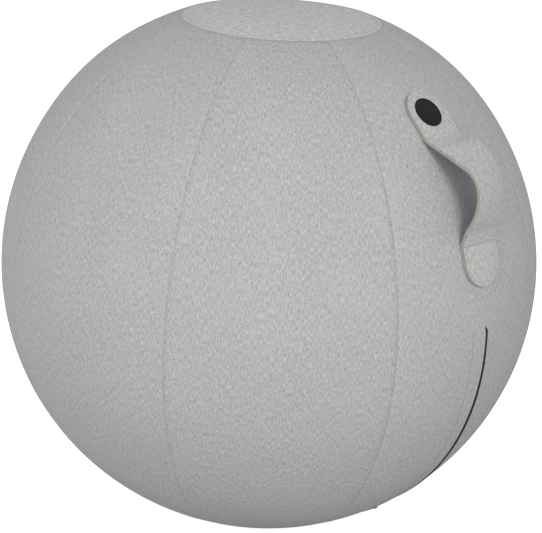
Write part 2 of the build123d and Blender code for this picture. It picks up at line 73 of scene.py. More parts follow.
camera_data = bpy.data.cameras.new("camera")
camera_data.sensor_width = sensor_width
camera_data.lens = focal_pixels * sensor_width / frame_width
camera_data.shift_x = shift_right_pixels / frame_width
camera_data.shift_y = shift_up_pixels / frame_width
camera_data.clip_end = view_depth
camera = bpy.data.objects.new("camera", camera_data)
camera_axes = Matrix((right, up, back)).transposed().to_4x4()
camera.matrix_world = Matrix.Translation(ball_centre + back * camera_distance) @ camera_axes
bpy.context.scene.collection.objects.link(camera)
bpy.context.scene.camera = camera
bpy.context.scene.view_settings.view_transform = "Standard"

lamp_distance = 2.8


def add_lamp(name, turn, rise, size, power):
    """A square soft lamp that points at the ball, turned from the camera's side and raised."""
    lamp_data = bpy.data.lights.new(name, "AREA")
    lamp_data.size = size
    lamp_data.energy = power
    lamp = bpy.data.objects.new(name, lamp_data)
    towards = heading(camera_turn + math.radians(turn), math.radians(rise))
    lamp.location = ball_centre + towards * lamp_distance
    lamp.rotation_euler = towards.to_track_quat("Z", "Y").to_euler()
    bpy.context.scene.collection.objects.link(lamp)


add_lamp("main lamp", turn=30, rise=30, size=0.9, power=20)
add_lamp("front lamp", turn=-20, rise=18, size=1.4, power=18)
add_lamp("side lamp", turn=-90, rise=5, size=1.6, power=12)


def add_node(tree, kind, values=None, **settings):
    """A new shader node: values go to its sockets by name or number, settings to the node."""
    node = tree.nodes.new(f"ShaderNode{kind}")
    for socket, value in (values or {}).items():
        node.inputs[socket].default_value = value
    for setting, value in settings.items():
        setattr(node, setting, value)
    return node


room_strength = 0.50
white = (1, 1, 1, 1)

world = bpy.data.worlds.new("studio")
bpy.context.scene.world = world
world.use_nodes = True
sky = world.node_tree
sky.nodes.clear()
room_light = add_node(sky, "Background", {"Color": white, "Strength": room_strength})
seen_white = add_node(sky, "Background", {"Color": white, "Strength": 1.0})
path = add_node(sky, "LightPath")
seen = path.outputs["Is Camera Ray"]
for ray in ("Is Glossy Ray", "Is Transmission Ray"):
    either = add_node(sky, "Math", operation="MAXIMUM")
    sky.links.new(seen, either.inputs[0])
    sky.links.new(path.outputs[ray], either.inputs[1])
    seen = either.outputs[0]
world_mix = add_node(sky, "MixShader")
sky.links.new(seen, world_mix.inputs["Fac"])
sky.links.new(room_light.outputs[0], world_mix.inputs[1])
sky.links.new(seen_white.outputs[0], world_mix.inputs[2])
world_out = add_node(sky, "OutputWorld")
sky.links.new(world_mix.outputs[0], world_out.inputs["Surface"])

floor_size = 12.0
floor_drop = 0.0002
floor_grey = (0.62, 0.62, 0.62, 1)
floor_seen_glow = 0.92

bpy.ops.object.select_all(action="DESELECT")
bpy.ops.mesh.primitive_plane_add(size=floor_size, location=(0, 0, -floor_drop))
floor = bpy.context.active_object
floor.name = "studio_floor"
floor_material = bpy.data.materials.new("studio floor")
floor_material.use_nodes = True
ground = floor_material.node_tree
ground.nodes.clear()
floor_paint = add_node(ground, "BsdfDiffuse", {"Color": floor_grey})
floor_glow = add_node(ground, "Emission", {"Color": white})
floor_path = add_node(ground, "LightPath")
glow_level = add_node(ground, "Math", {1: floor_seen_glow}, operation="MULTIPLY")
ground.links.new(floor_path.outputs["Is Camera Ray"], glow_level.inputs[0])
ground.links.new(glow_level.outputs[0], floor_glow.inputs["Strength"])
floor_sum = add_node(ground, "AddShader")
ground.links.new(floor_paint.outputs[0], floor_sum.inputs[0])
ground.links.new(floor_glow.outputs[0], floor_sum.inputs[1])
floor_out = add_node(ground, "OutputMaterial")
ground.links.new(floor_sum.outputs[0], floor_out.inputs["Surface"])
floor.data.materials.append(floor_material)


# Side panels of the cover
# Seven gores of pale grey melange cloth, cut flat with their grain upright, and drawn tight over
# the inflated bladder. Their edges are turned in and sewn to the next gore.

gore_count = 8
half_gore = math.pi / gore_count
cloth_thickness = 0.0006
seam_roll = 0.0004
seam_gap = 0.0001
turned_in = 0.0025
roll_steps = 4
gore_columns = 40
gore_rows = 120
weld_distance = 0.00002
smooth_angle = math.radians(50)
pinch_depth = 0.0003
pinch_width = 0.012
shoulder_rise = 0.0020
shoulder_latitude = 48.0
shoulder_spread = 15.0
foot_fall = 0.0010
foot_latitude = -44.0
foot_spread = 5.0
top_seam_radius = 0.118
base_seam_radius = 0.157
top_seam_latitude = math.acos(top_seam_radius / cover_radius)
base_seam_latitude = -math.acos(base_seam_radius / cover_radius)
right_angle = math.pi / 2


def bell(offset, width):
    """1 at an offset of zero, falling off evenly on both sides."""
    return math.exp(-((offset / width) ** 2))


def skin_level(latitude):
    """The cover's distance from the ball's centre: full at the shoulder, drawn in at the foot."""
    degrees = math.degrees(latitude)
    shoulder = shoulder_rise * bell(degrees - shoulder_latitude, shoulder_spread)
    foot = foot_fall / (1 + math.exp((degrees - foot_latitude) / foot_spread))
    return cover_radius + shoulder - foot


def on_ball(latitude, longitude, level):
    """A point at a distance from the ball's centre."""
    flat = level * math.cos(latitude)
    height = centre_height + level * math.sin(latitude)
    return Vector((flat * math.cos(longitude), flat * math.sin(longitude), height))


def rolled_edge(side):
    """The lines of an edge that rolls into a seam: share, offset, lean and drop, edge first."""
    lines = [(side, side * seam_roll, seam_roll, turned_in)]
    for step in range(roll_steps):
        lean = seam_roll * math.cos(right_angle * step / roll_steps)
        reach = seam_roll - seam_roll * (1 - math.sin(math.acos(lean / seam_roll)))
        lines.append((side, side * (seam_roll - reach), lean, 0))
    return lines


def pressed_edge(side):
    """The lines of an edge that is folded sharp and pressed flat, edge first."""
    return [(side, side * seam_roll, 0, turned_in), (side, side * seam_roll, 0, 0)]


def cloth_lines(count, low_edge=rolled_edge, high_edge=rolled_edge):
    """The lines across a panel, from one turned-in edge to the other."""
    inner = [(-1 + 2 * step / count, 0, 0, 0) for step in range(count + 1)]
    return low_edge(-1) + inner + high_edge(1)[::-1]


def roll_fall(roll, *leans):
    """How far an edge has rolled down where it leans over that much."""
    return roll - math.sqrt(max(roll**2 - sum(lean**2 for lean in leans), 0))


def named(piece, name):
    """Names a piece and its mesh alike."""
    piece.name = name
    piece.data.name = name
    return piece


def flat_cloth(name, columns, rows):
    """A flat rectangular cut of cloth, one unit square, as a grid."""
    bpy.ops.object.select_all(action="DESELECT")
    bpy.ops.mesh.primitive_grid_add(x_subdivisions=columns - 1, y_subdivisions=rows - 1, size=1)
    return named(bpy.context.active_object, name)


def lay_grain(cloth, spots):
    """Keeps each vertex's spot on the flat cloth, where the yarns are drawn."""
    while cloth.data.uv_layers:
        cloth.data.uv_layers.remove(cloth.data.uv_layers[0])
    grain = cloth.data.uv_layers.new(name="grain")
    for loop in cloth.data.loops:
        grain.data[loop.index].uv = spots[loop.vertex_index]


def draw_over(cloth, column_count, row_count, place):
    """Draws a flat cut over its form: place gives a point and its spot on the flat cloth."""
    spots = []
    for vertex in cloth.data.vertices:
        column = round((vertex.co.x + 0.5) * (column_count - 1))
        row = round((vertex.co.y + 0.5) * (row_count - 1))
        vertex.co, spot = place(column, row)
        spots.append(spot)
    lay_grain(cloth, spots)


def sew_up(cloth, thickness):
    """Joins what meets, turns the faces outwards and gives the cloth its thickness."""
    bpy.ops.object.select_all(action="DESELECT")
    bpy.context.view_layer.objects.active = cloth
    cloth.select_set(True)
    bpy.ops.object.mode_set(mode="EDIT")
    bpy.ops.mesh.select_all(action="SELECT")
    bpy.ops.mesh.remove_doubles(threshold=weld_distance)
    bpy.ops.mesh.dissolve_degenerate(threshold=weld_distance)
    bpy.ops.mesh.select_all(action="SELECT")
    bpy.ops.mesh.normals_make_consistent(inside=False)
    bpy.ops.object.mode_set(mode="OBJECT")
    faces = cloth.data.polygons
    if sum(face.area * face.normal.dot(face.center - ball_centre) for face in faces) < 0:
        cloth.data.flip_normals()
    solid = cloth.modifiers.new("thickness", "SOLIDIFY")
    solid.thickness = thickness
    solid.offset = -1
    bpy.ops.object.modifier_apply(modifier=solid.name)
    bpy.ops.object.shade_smooth_by_angle(angle=smooth_angle)


def end_pinch(along, half_length, pressed):
    """How much the cloth is drawn in near a sunk end seam: a pressed end isn't."""
    near_end = max(half_length - abs(along), 0)
    return 0 if along * pressed > 0 else math.exp(-near_end / pinch_width)


def seam_line(latitude, inner_width, line):
    """Where a line of a whole gore runs: its distance across, its lean, drop and rise."""
    share, offset, lean, drop = line
    return share * inner_width + offset, lean, drop, 0


def gore_place(low, high, columns, rows, pressed=0, run=seam_line):
    """Places the lines of a gore on the ball, with longitude 0 along its middle."""
    middle = (low + high) / 2
    half_length = cover_radius * (high - low) / 2

    def place(column, row):
        share_up, offset_up, lean_up, drop_up = rows[row]
        along = share_up * (half_length - seam_gap / 2 - seam_roll) + offset_up
        latitude = middle + along / cover_radius
        half_width = half_gore * cover_radius * math.cos(latitude)
        inner_width = half_width - seam_gap / 2 - seam_roll
        across, lean, drop, rise = run(latitude, inner_width, columns[column])
        sunk = roll_fall(seam_roll, lean_up, lean) + max(drop_up, drop)
        near_side = max(half_width - abs(across), 0)
        pinch = math.exp(-near_side / pinch_width) + end_pinch(along, half_length, pressed)
        level = skin_level(latitude) - sunk - pinch_depth * pinch + rise
        longitude = across / (cover_radius * math.cos(latitude))
        return on_ball(latitude, longitude, level), (across, cover_radius * latitude)

    return place


def new_finish(name, roughness, sheen=0):
    """A material with its roughness and sheen, its tree of nodes, and its shader."""
    material = bpy.data.materials.new(name)
    material.use_nodes = True
    shader = material.node_tree.nodes["Principled BSDF"]
    shader.inputs["Roughness"].default_value = roughness
    shader.inputs["Sheen Weight"].default_value = sheen
    return material, material.node_tree, shader


def raised(tree, shader, pattern, strength, distance):
    """Raises a pattern as fine relief on a surface."""
    bump = add_node(tree, "Bump", {"Strength": strength, "Distance": distance})
    tree.links.new(pattern, bump.inputs["Height"])
    tree.links.new(bump.outputs["Normal"], shader.inputs["Normal"])


upright_streak = (0.90, 0.17)
level_streak = (0.24, 0.90)
streak_detail = 2.0
upright_share = 0.70
mixed_share = 0.75
cloud_size = (0.012, 0.010)
cloud_detail = 3.0
cloud_strength = 0.10
fibre_size = (0.42, 0.30)
fibre_detail = 1.0
fibre_level = 0.78
mean_noise = 0.5
cloth_roughness = 0.92
cloth_gloss = 0.10
cloth_sheen_roughness = 0.55
weave_strength = 0.35
weave_height = 0.0002


def woven_cloth(name, colour, yarn, fleck, speck, sheen):
    """Melange cloth: two crossing sets of mixed yarns, with a few dark fibres."""
    material, tree, shader = new_finish(name, cloth_roughness, sheen)
    shader.inputs["Specular IOR Level"].default_value = cloth_gloss
    shader.inputs["Sheen Roughness"].default_value = cloth_sheen_roughness
    grain = add_node(tree, "UVMap", uv_map="grain")

    def mapped(scale_across, scale_along):
        scaled = add_node(tree, "Mapping", {"Scale": (scale_across / yarn, scale_along / yarn, 1)})
        tree.links.new(grain.outputs["UV"], scaled.inputs["Vector"])
        return scaled.outputs["Vector"]

    def streaks(scales, detail):
        noise = add_node(tree, "TexNoise", {"Scale": 1.0, "Detail": detail}, noise_dimensions="2D")
        tree.links.new(mapped(*scales), noise.inputs["Vector"])
        return noise.outputs["Fac"]

    def sums(operation, first, second):
        node = add_node(tree, "Math", operation=operation)
        for socket, value in zip(node.inputs, (first, second)):
            if isinstance(value, (int, float)):
                socket.default_value = value
            else:
                tree.links.new(value, socket)
        return node.outputs[0]

    cells = add_node(tree, "SeparateXYZ")
    tree.links.new(mapped(math.pi, math.pi), cells.inputs["Vector"])
    wave_across = sums("SINE", cells.outputs["X"], 0)
    wave_along = sums("SINE", cells.outputs["Y"], 0)
    crossing = sums("MULTIPLY", wave_across, wave_along)
    upright = streaks(upright_streak, streak_detail)
    level = streaks(level_streak, streak_detail)
    upright_part = sums("MULTIPLY", upright, upright_share)
    level_part = sums("MULTIPLY", level, 1 - upright_share)
    mixed = sums("MULTIPLY", sums("ADD", upright_part, level_part), mixed_share)
    shown = add_node(tree, "Mix", data_type="FLOAT")
    tree.links.new(sums("GREATER_THAN", crossing, 0), shown.inputs["Factor"])
    tree.links.new(upright, shown.inputs["A"])
    tree.links.new(level, shown.inputs["B"])
    tone = sums("ADD", mixed, sums("MULTIPLY", shown.outputs["Result"], 1 - mixed_share))
    flecks = sums("MULTIPLY", sums("SUBTRACT", tone, mean_noise), fleck)
    cloud = sums("SUBTRACT", streaks(cloud_size, cloud_detail), mean_noise)
    spots = sums("GREATER_THAN", streaks(fibre_size, fibre_detail), fibre_level)
    speckled = sums("MULTIPLY", spots, speck)
    shaded = sums("SUBTRACT", sums("MULTIPLY", cloud, cloud_strength), speckled)
    factor = sums("ADD", sums("ADD", flecks, shaded), 1.0)
    tint = add_node(tree, "VectorMath", {0: colour}, operation="SCALE")
    tree.links.new(factor, tint.inputs["Scale"])
    tree.links.new(tint.outputs["Vector"], shader.inputs["Base Color"])
    raised(tree, shader, crossing, weave_strength, weave_height)
    return material


cover_grey = (0.490, 0.490, 0.500)
cover_cloth = woven_cloth("cover cloth", cover_grey, yarn=0.0010, fleck=1.40, speck=0.16, sheen=0.03)


def dress(piece, material, node):
    """Gives a piece its finish and its solid's place. It moves with the ball."""
    piece.data.materials.clear()
    piece.data.materials.append(material)
    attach(piece, "ball")
    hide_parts(node)


def sewn_gore(name, low, high, row_count, low_edge=rolled_edge, pressed=0):
    """A gore between two latitudes, as one piece of cloth."""
    columns = cloth_lines(gore_columns)
    rows = cloth_lines(row_count, low_edge)
    cloth = flat_cloth(name, len(columns), len(rows))
    draw_over(cloth, len(columns), len(rows), gore_place(low, high, columns, rows, pressed))
    sew_up(cloth, cloth_thickness)
    return cloth


first_gore = sewn_gore("side_cover_1", base_seam_latitude, top_seam_latitude, gore_rows)
upright_mesh = first_gore.data.copy()
for number in range(1, gore_count):
    gore = first_gore
    if number > 1:
        gore = bpy.data.objects.new(f"side_cover_{number}", upright_mesh.copy())
        bpy.context.scene.collection.objects.link(gore)
    gore.data.transform(Matrix.Rotation(2 * half_gore * number, 4, "Z"))
    gore.data.name = gore.name
    dress(gore, cover_cloth, f"side_panel_{number}")
bpy.data.meshes.remove(upright_mesh)


# Upper panel of the handle's gore
# The same cloth, cut short: it ends at a level seam, pressed flat, behind the handle's lower end.

cross_seam_latitude = math.radians(17.2)
upper_gore_rows = 50

upper_spans = (cross_seam_latitude, top_seam_latitude, upper_gore_rows)
upper_gore = sewn_gore("handle_cover", *upper_spans, low_edge=pressed_edge, pressed=-1)
dress(upper_gore, cover_cloth, "handle_panel")


# Lower panel of the handle's gore
# The same cloth, cut in two and joined above and below a slit for the zip. The slit's edges are
# folded in, and their sunk walls take the dark tape finish: partly the tape, partly painted shade
# deep in the slit, which shows as a dark line. The left one is doubled by its facing, and the
# right one stands a little proud. The slit gapes more towards the foot.

zip_slant = math.radians(3.0)
zip_turn = math.radians(0.7)
slit_width = 0.0042
slit_top_latitude = math.radians(2.7)
slit_base_distance = 0.0176
slit_bottom_latitude = base_seam_latitude + slit_base_distance / cover_radius
slit_taper = 0.004
slit_roll = 0.0010
slit_turned_in = 0.002
kink_length = 0.0065
kink_width = 0.0026
top_gape = 0.50
gape_length = 0.174
fold_width = 0.025
fold_rise = 0.0005
lip_rise = 0.0017
lip_width = 0.008
slit_tape_and_shade_depth = 0.00015
stitch_line_distance = 0.0235
stitch_line_depth = 0.0005
stitch_line_width = 0.0015
fold_ramp = 0.0012
fold_fade = 0.012
lip_lines = (0.0228, 0.0221, 0.021, 0.018, 0.012, 0.008, 0.005, 0.003)
lower_gore_rows = 100
between_columns = 20


def clamped(value):
    """The value, kept between 0 and 1."""
    return min(max(value, 0), 1)


def slit_line(latitude):
    """The slit's distance from the gore's middle, with the small kink at its top."""
    slant = -cover_radius * math.sin(latitude) * math.sin(zip_slant)
    line = slant + cover_radius * math.cos(latitude) * math.sin(zip_turn)
    below_top = cover_radius * (slit_top_latitude - latitude)
    kink = kink_width * max(1 - abs(below_top) / kink_length, 0)
    return line - kink


def slit_open(latitude):
    """How far the slit is open, from 0 at its ends to 1."""
    from_top = cover_radius * (slit_top_latitude - latitude)
    from_bottom = cover_radius * (latitude - slit_bottom_latitude)
    return clamped(min(from_top, from_bottom) / slit_taper)


def slit_gape(latitude):
    """The share of the slit's full width that it gapes: little at its top, all near the foot."""
    from_top = cover_radius * (slit_top_latitude - latitude)
    return top_gape + (1 - top_gape) * clamped(from_top / gape_length)


def slit_rise(latitude, across):
    """How far the cloth stands proud beside the slit: over the left facing and at the right lip."""
    from_line = abs(across - slit_line(latitude))
    if across < slit_line(latitude):
        folded = clamped((fold_width + fold_ramp / 2 - from_line) / fold_ramp)
        fading = clamped(cover_radius * (slit_top_latitude - latitude) / fold_fade)
        sewn = stitch_line_depth * bell(from_line - stitch_line_distance, stitch_line_width)
        return (fold_rise * folded - sewn) * fading
    return lip_rise * slit_open(latitude) * slit_gape(latitude) * math.exp(-from_line / lip_width)


def slit_half(side, inner_count):
    """The lines across one half of the panel, from its side seam to the slit."""
    lines = [("seam", *line) for line in rolled_edge(side)]
    lines += [("between", side * (1 - step / inner_count), 0, 0, 0) for step in range(inner_count)]
    for distance in (fold_width + fold_ramp, fold_width, fold_width - fold_ramp, *lip_lines):
        lines.append(("fold", side, distance, 0, 0))
    for step in range(roll_steps + 1):
        lean = slit_roll * math.sin(right_angle * step / roll_steps)
        closed = slit_roll * (1 - step / roll_steps)
        opened = slit_roll - lean
        lines.append(("slit", side, (closed, opened), lean, 0))
    lines.append(("slit", side, (0, 0), slit_roll, slit_turned_in))
    return lines


def slit_panel_line(latitude, inner_width, line):
    """Where a line of half the lower panel runs: its distance across, its lean, drop and rise."""
    middle = slit_line(latitude)
    opened = slit_open(latitude)
    kind, *values = line
    if kind == "seam":
        across, lean, drop, _ = seam_line(latitude, inner_width, values)
        return across, lean, drop, slit_rise(latitude, across)
    side = math.copysign(1, values[0])
    sink = 0
    if kind == "between":
        fold_start = middle + side * (fold_width + 2 * fold_ramp)
        across = fold_start + (side * inner_width - fold_start) * abs(values[0])
    elif kind == "fold":
        across = middle + side * values[1]
    else:
        (closed, rolled), lean, drop = values[1:]
        distance = closed + (rolled - closed) * opened
        across = middle + side * (distance + opened * slit_gape(latitude) * slit_width / 2)
        sink = opened * (roll_fall(slit_roll, lean) + drop)
    return across, 0, 0, slit_rise(latitude, across) - sink


def tinted(tree, shader, pattern, colour, dark, light, low=0, high=1):
    """Colours a surface by a pattern, from a dark to a light share of its colour."""
    ramp = add_node(tree, "ValToRGB")
    for stop, share, position in zip(ramp.color_ramp.elements, (dark, light), (low, high)):
        stop.position = position
        stop.color = (*[value * share for value in colour], 1)
    tree.links.new(pattern, ramp.inputs["Fac"])
    tree.links.new(ramp.outputs["Color"], shader.inputs["Base Color"])


def tape_finish(name, colour, ribs_per_metre=300):
    """Dark twill tape with slanting ribs."""
    material, tree, shader = new_finish(name, roughness=0.85, sheen=0.2)
    grain = add_node(tree, "UVMap", uv_map="grain")
    values = {"Scale": ribs_per_metre, "Distortion": 1.0}
    ribs = add_node(tree, "TexWave", values, bands_direction="DIAGONAL")
    tree.links.new(grain.outputs["UV"], ribs.inputs["Vector"])
    tinted(tree, shader, ribs.outputs["Fac"], colour, dark=0.75, light=1.25)
    raised(tree, shader, ribs.outputs["Fac"], strength=0.4, distance=0.0002)
    return material


# The zip tapes' own colour, also used as painted shade on the slit's sunk walls.
tape_and_slit_shade_cloth = tape_finish("zip tape cloth and painted slit shade", (0.022, 0.022, 0.024))


lower_rows = cloth_lines(lower_gore_rows, rolled_edge, pressed_edge)
halves = []
for side, half_name in ((-1, "zip_cover"), (1, "zip_cover_right")):
    half_columns = slit_half(side, between_columns)
    half = flat_cloth(half_name, len(half_columns), len(lower_rows))
    spans = (base_seam_latitude, cross_seam_latitude, half_columns, lower_rows)
    half_place = gore_place(*spans, pressed=1, run=slit_panel_line)
    draw_over(half, len(half_columns), len(lower_rows), half_place)
    halves.append(half)
bpy.ops.object.select_all(action="DESELECT")
for half in halves:
    half.select_set(True)
bpy.context.view_layer.objects.active = halves[0]
bpy.ops.object.join()
zip_cover = halves[0]
sew_up(zip_cover, cloth_thickness)
dress(zip_cover, cover_cloth, "zip_panel")
# Painted shade: the sunk walls of the slit take the dark tape finish, partly for the tape's edge and partly
# for the shade deep in the slit.
zip_cover.data.materials.append(tape_and_slit_shade_cloth)
for face in zip_cover.data.polygons:
    spot = face.center - ball_centre
    latitude = math.asin(spot.z / spot.length)
    across = math.atan2(spot.y, spot.x) * cover_radius * math.cos(latitude)
    below = skin_level(latitude) + slit_rise(latitude, across) - spot.length
    if abs(across - slit_line(latitude)) < slit_width and below > slit_tape_and_shade_depth:
        face.material_index = 1


# Top panel of the cover
# A round cut of the same cloth, with its grain level across the view, flatter than the ball. It
# is sewn in with a sunk seam. Its colour is painted lighter than the gores': painted sheen for the
# light that its turned grain catches.

top_drop = 0.010
pole_height = centre_height + cover_radius - top_drop
top_seam_height = centre_height + math.sqrt(cover_radius**2 - top_seam_radius**2)
top_rise = pole_height - top_seam_height
dome_radius = (top_seam_radius**2 + top_rise**2) / (2 * top_rise)
dome_centre_height = pole_height - dome_radius
top_grain_turn = math.radians(48.0)
round_segments = 160
top_rings = 44
top_pinch_share = 1.4
cut_margin = 0.001


def round_cloth(name, ring_count, upward):
    """A round cut of cloth: the cap of a ball that is one unit across, to be pressed to its form."""
    bpy.ops.object.select_all(action="DESELECT")
    rings = 2 * ring_count
    bpy.ops.mesh.primitive_uv_sphere_add(segments=round_segments, ring_count=rings, radius=1)
    cloth = named(bpy.context.active_object, name)
    bpy.ops.object.mode_set(mode="EDIT")
    bpy.ops.mesh.select_all(action="DESELECT")
    bpy.ops.object.mode_set(mode="OBJECT")
    for vertex in cloth.data.vertices:
        vertex.select = vertex.co.z * upward < -cut_margin
    bpy.ops.object.mode_set(mode="EDIT")
    bpy.ops.mesh.delete(type="VERT")
    bpy.ops.object.mode_set(mode="OBJECT")
    return cloth


def press_round(cloth, ring_count, upward, profile, grain_turn):
    """Presses a round cut to its form: profile gives the radius and height of each ring."""
    for vertex in cloth.data.vertices:
        polar = math.acos(min(max(vertex.co.z * upward, -1), 1))
        ring = round(polar / right_angle * ring_count)
        turn = math.atan2(vertex.co.y, vertex.co.x)
        radius, height = profile(ring)
        vertex.co = Vector((radius * math.cos(turn), radius * math.sin(turn), height))
    turned = Matrix.Rotation(grain_turn, 2)
    lay_grain(cloth, [turned @ vertex.co.xy for vertex in cloth.data.vertices])


def rim_lines(count):
    """The rings of a round cut, from its middle to the end of its turned-in edge."""
    rings = [(step / (count - roll_steps - 1), 0, 0, 0) for step in range(count - roll_steps)]
    return rings + rolled_edge(1)[::-1]


top_lines = rim_lines(top_rings)


def top_profile(ring):
    """The radius and height of a ring of the top panel."""
    share, offset, lean, drop = top_lines[ring]
    radius = share * (top_seam_radius - seam_gap / 2 - seam_roll) + offset
    height = dome_centre_height + math.sqrt(dome_radius**2 - radius**2)
    pinch = top_pinch_share * pinch_depth * math.exp((radius - top_seam_radius) / pinch_width)
    return radius, height - roll_fall(seam_roll, lean) - drop - pinch


# Painted sheen: a lighter copy of the cover's cloth, for the light that the top panel catches.
top_cloth_painted_sheen = woven_cloth("top cloth with painted sheen", (0.610, 0.608, 0.610), yarn=0.0014, fleck=1.6, speck=0.14, sheen=0.03)
top_cover = round_cloth("top_cover", top_rings, 1)
press_round(top_cover, top_rings, 1, top_profile, top_grain_turn)
sew_up(top_cover, cloth_thickness)
dress(top_cover, top_cloth_painted_sheen, "top_panel")


# Base panel of the cover
# A round cut of dark non-slip cloth with a rubbery coat, pressed flat where the ball stands.

base_rings = 60
contact_angle = math.asin(contact_radius / cover_radius)
base_seam_angle = math.asin(base_seam_radius / cover_radius)
base_length = contact_radius + cover_radius * (base_seam_angle - contact_angle)
base_lines = rim_lines(base_rings)


def base_profile(ring):
    """The radius and height of a ring of the base panel."""
    share, offset, lean, drop = base_lines[ring]
    length = share * (base_length - seam_gap / 2 - seam_roll) + offset
    sunk = roll_fall(seam_roll, lean) + drop
    sunk += pinch_depth * math.exp((length - base_length) / pinch_width)
    if length <= contact_radius:
        return length, 0
    angle = contact_angle + (length - contact_radius) / cover_radius
    drawn_in = cover_radius - skin_level(angle - right_angle)
    level = cover_radius - sunk - drawn_in * (ring / base_rings)
    return level * math.sin(angle), centre_height - level * math.cos(angle)


def on_piece(tree, kind, values):
    """A texture that lies in the piece's own space."""
    texture = add_node(tree, kind, values)
    place = add_node(tree, "TexCoord")
    tree.links.new(place.outputs["Object"], texture.inputs["Vector"])
    return texture.outputs


def coated_cloth(name, colour, pitch):
    """Dark cloth with a dimpled rubbery coat."""
    material, tree, shader = new_finish(name, roughness=0.62)
    dimples = on_piece(tree, "TexVoronoi", {"Scale": 1 / pitch, "Randomness": 0.25})
    cloud = on_piece(tree, "TexNoise", {"Scale": 30})
    tinted(tree, shader, cloud["Fac"], colour, dark=0.8, light=1.2, low=0.3, high=0.7)
    raised(tree, shader, dimples["Distance"], strength=0.6, distance=0.0004)
    return material


base_cover = round_cloth("base_cover", base_rings, -1)
press_round(base_cover, base_rings, -1, base_profile, 0)
sew_up(base_cover, cloth_thickness)
base_cloth = coated_cloth("base cloth", (0.018, 0.018, 0.020), pitch=0.0022)
dress(base_cover, base_cloth, "base_panel")


# Threads of the seams
# Grey polyester thread, down between the rolled edges of the panels: eight upright seams, the
# rings at the top and the base, and the level seam behind the handle.

seam_thread_thickness = 0.0006
seam_thread_depth = 0.0002
stitch_length = 0.0027
stitch_pitch = 0.0034
stitch_steps = 6


def one_stitch(thickness):
    """A stitch at the origin: it lies along X and its ends taper into the cloth."""
    bpy.ops.object.select_all(action="DESELECT")
    lying = (0, right_angle, 0)
    steps = stitch_steps
    bpy.ops.mesh.primitive_uv_sphere_add(segments=steps, ring_count=steps, radius=0.5, rotation=lying)
    stitch = bpy.context.active_object
    bpy.ops.object.transform_apply(rotation=True)
    bpy.ops.transform.resize(value=(stitch_length, thickness, thickness))
    bpy.ops.object.transform_apply(scale=True)
    return stitch


def sew_line(line):
    """Places for stitches at an even pitch along a line of points and outward directions."""
    places = []
    ahead = stitch_pitch / 2
    for (start, start_up), (end, end_up) in zip(line, line[1:]):
        run = end - start
        while ahead < run.length:
            share = ahead / run.length
            places.append((start + run * share, run.normalized(), start_up.lerp(end_up, share).normalized()))
            ahead += stitch_pitch
        ahead -= run.length
    return places


def stitch_piece(name, thickness, places):
    """All the stitches of a piece, each a copy of one stitch, as one object."""
    stitch = one_stitch(thickness)
    shape = [vertex.co.copy() for vertex in stitch.data.vertices]
    sides = [tuple(face.vertices) for face in stitch.data.polygons]
    bpy.data.objects.remove(stitch)
    spots = []
    faces = []
    for place, along, outward in places:
        across = outward.cross(along).normalized()
        first = len(spots)
        spots += [place + along * spot.x + across * spot.y + outward * spot.z for spot in shape]
        faces += [tuple(first + corner for corner in side) for side in sides]
    mesh = bpy.data.meshes.new(name)
    mesh.from_pydata(spots, [], faces)
    mesh.shade_smooth()
    stitches = bpy.data.objects.new(name, mesh)
    bpy.context.scene.collection.objects.link(stitches)
    return stitches


def ball_line(latitudes, longitudes, depth):
    """A line of points on the cover, with the direction outwards at each."""
    line = []
    for latitude, longitude in zip(latitudes, longitudes):
        point = on_ball(latitude, longitude, skin_level(latitude) - depth)
        line.append((point, (point - ball_centre).normalized()))
    return line


def even_steps(start, end, count):
    return [start + (end - start) * step / count for step in range(count + 1)]


def thread_finish(name, colour):
    """Twisted polyester thread."""
    material, tree, shader = new_finish(name, roughness=0.7, sheen=0.2)
    twist = on_piece(tree, "TexNoise", {"Scale": 900})
    tinted(tree, shader, twist["Fac"], colour, dark=0.7, light=1.3)
    return material


seam_steps = 160
seam_depth = pinch_depth + seam_thread_depth
seam_places = []
for number in range(gore_count):
    seam_longitudes = [half_gore * (2 * number + 1)] * (seam_steps + 1)
    seam_latitudes = even_steps(base_seam_latitude, top_seam_latitude, seam_steps)
    seam_places += sew_line(ball_line(seam_latitudes, seam_longitudes, seam_depth))
rings = ((top_seam_latitude, math.pi), (base_seam_latitude, math.pi), (cross_seam_latitude, half_gore))
for seam_latitude, sweep in rings:
    ring_longitudes = even_steps(-sweep, sweep, seam_steps)
    ring_latitudes = [seam_latitude] * (seam_steps + 1)
    seam_places += sew_line(ball_line(ring_latitudes, ring_longitudes, seam_depth))
seam_stitches = stitch_piece("seam_stitches", seam_thread_thickness, seam_places)
seam_thread = thread_finish("seam thread", (0.46, 0.46, 0.47))
dress(seam_stitches, seam_thread, "seam_threads")


# Topstitching of the top panel
# A ring of the same thread that holds the turned-in edges down, just inside the sunk seam.

top_stitch_inset = 0.0055
topstitch_thickness = 0.0007

ring_radius = top_seam_radius - top_stitch_inset
ring_height = dome_centre_height + math.sqrt(dome_radius**2 - ring_radius**2)
ring_height -= top_pinch_share * pinch_depth * math.exp(-top_stitch_inset / pinch_width)
dome_centre = Vector((0, 0, dome_centre_height))
ring_line = []
for turn in even_steps(-math.pi, math.pi, seam_steps):
    ring_point = Vector((ring_radius * math.cos(turn), ring_radius * math.sin(turn), ring_height))
    ring_line.append((ring_point, (ring_point - dome_centre).normalized()))
top_stitches = stitch_piece("top_stitches", topstitch_thickness, sew_line(ring_line))
topstitch_thread = thread_finish("topstitch thread", (0.40, 0.40, 0.41))
dress(top_stitches, topstitch_thread, "top_stitching")


# Facings of the slit
# Two strips of the cover's cloth inside it. They line the slit's edges and carry the zip.

